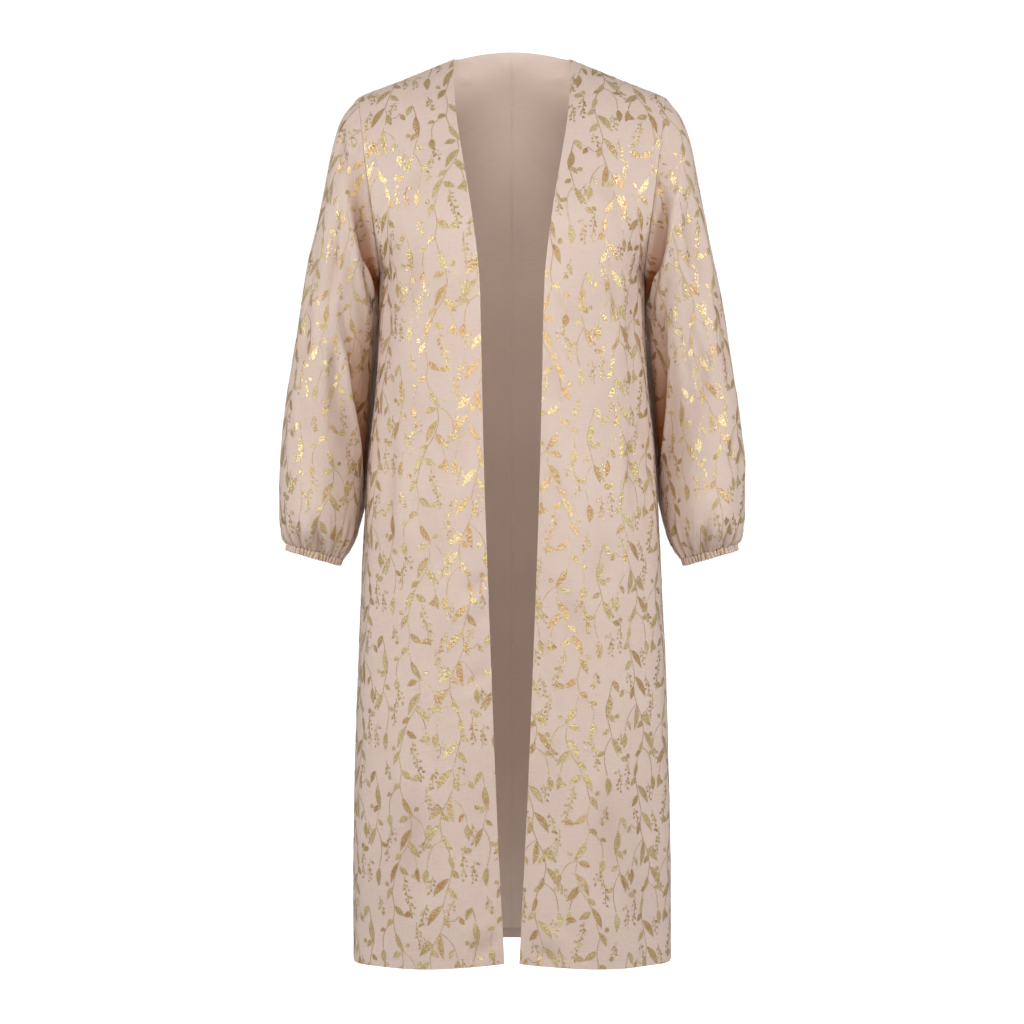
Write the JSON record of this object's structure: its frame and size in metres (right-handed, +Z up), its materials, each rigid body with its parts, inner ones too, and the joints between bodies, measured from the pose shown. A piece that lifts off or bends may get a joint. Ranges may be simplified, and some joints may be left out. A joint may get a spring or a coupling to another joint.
{
  "type": "open-front dress",
  "caption": "Calf-length open-front dress, hollow as worn, with long full sleeves gathered into narrow elastic cuffs.",
  "frame": {"origin": "midway between the two points where the shoulder seams meet the neckline", "axes": "+Z up along the wearer's body, the open front facing -Y, the wearer's left at +X"},
  "size_m": [0.6106, 0.2801, 1.1844],
  "materials": {
    "cloth": "soft satin-faced blush cloth with a fine slub weave",
    "foil": "thin pale gold foil print, slightly rubbed"
  },
  "bodies": {
    "root": {"front_left": "cloth", "front_right": "cloth", "back_left": "cloth", "back_right": "cloth", "sleeve_left": "cloth", "sleeve_right": "cloth", "cuff_left": "cloth", "cuff_right": "cloth"}
  },
  "joints": []
}
